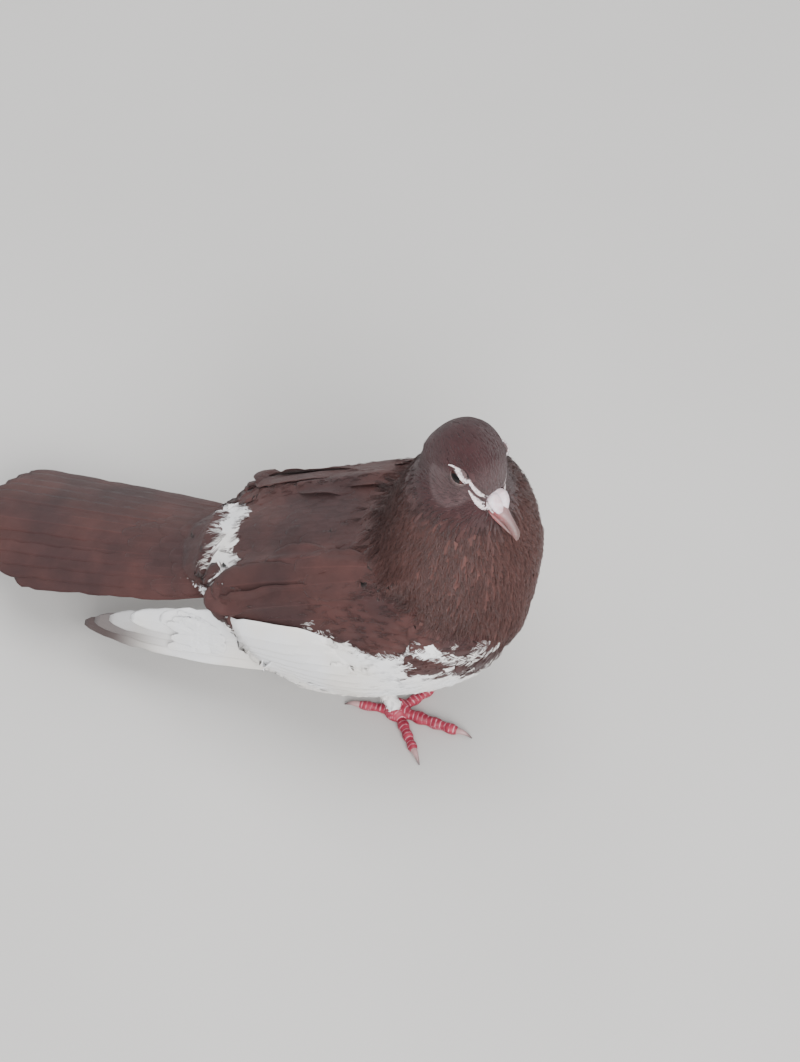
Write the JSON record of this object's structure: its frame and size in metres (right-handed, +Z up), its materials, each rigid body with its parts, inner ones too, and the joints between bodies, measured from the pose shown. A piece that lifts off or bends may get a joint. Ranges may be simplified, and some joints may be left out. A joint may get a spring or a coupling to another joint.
{
  "type": "standing domestic pigeon",
  "caption": "Life-size still model of a standing brown and white domestic pigeon, head turned to its right and bowed, white wing edges, feathered shanks and red toes.",
  "frame": {"origin": "middle of the bird's footprint (its bounding box) on the floor, at the level of the undersides of the feet", "axes": "+X the way the body faces, +Y the bird's left, +Z up"},
  "size_m": [0.2596, 0.1144, 0.1686],
  "materials": {
    "plumage_brown": "soft matt chocolate brown feathers",
    "plumage_white": "soft matt white to cream feathers",
    "foot_skin": "scaled red skin, satin",
    "bill_horn": "pale pinkish horn, satin",
    "cere_powder": "powdery white swelling, matt",
    "claw_horn": "dull greyish pink horn, satin",
    "eye_gloss": "wet dark gloss"
  },
  "bodies": {
    "root": {"bill_lower": "bill_horn", "bill_upper": "bill_horn", "cere": "cere_powder", "claw_hind_left": "claw_horn", "claw_hind_right": "claw_horn", "claw_inner_left": "claw_horn", "claw_inner_right": "claw_horn", "claw_middle_left": "claw_horn", "claw_middle_right": "claw_horn", "claw_outer_left": "claw_horn", "claw_outer_right": "claw_horn", "eye_left": "eye_gloss", "eye_right": "eye_gloss", "head": "plumage_brown", "neck": "plumage_brown", "shank_left": "plumage_white", "shank_right": "plumage_white", "tail": "plumage_brown", "thigh_left": "plumage_white", "thigh_right": "plumage_white", "toe_hind_left": "foot_skin", "toe_hind_right": "foot_skin", "toe_inner_left": "foot_skin", "toe_inner_right": "foot_skin", "toe_middle_left": "foot_skin", "toe_middle_right": "foot_skin", "toe_outer_left": "foot_skin", "toe_outer_right": "foot_skin", "trunk": "plumage_brown", "wing_left": "plumage_brown", "wing_right": "plumage_brown", "wing_tip_left": "plumage_white", "wing_tip_right": "plumage_white"}
  },
  "joints": []
}
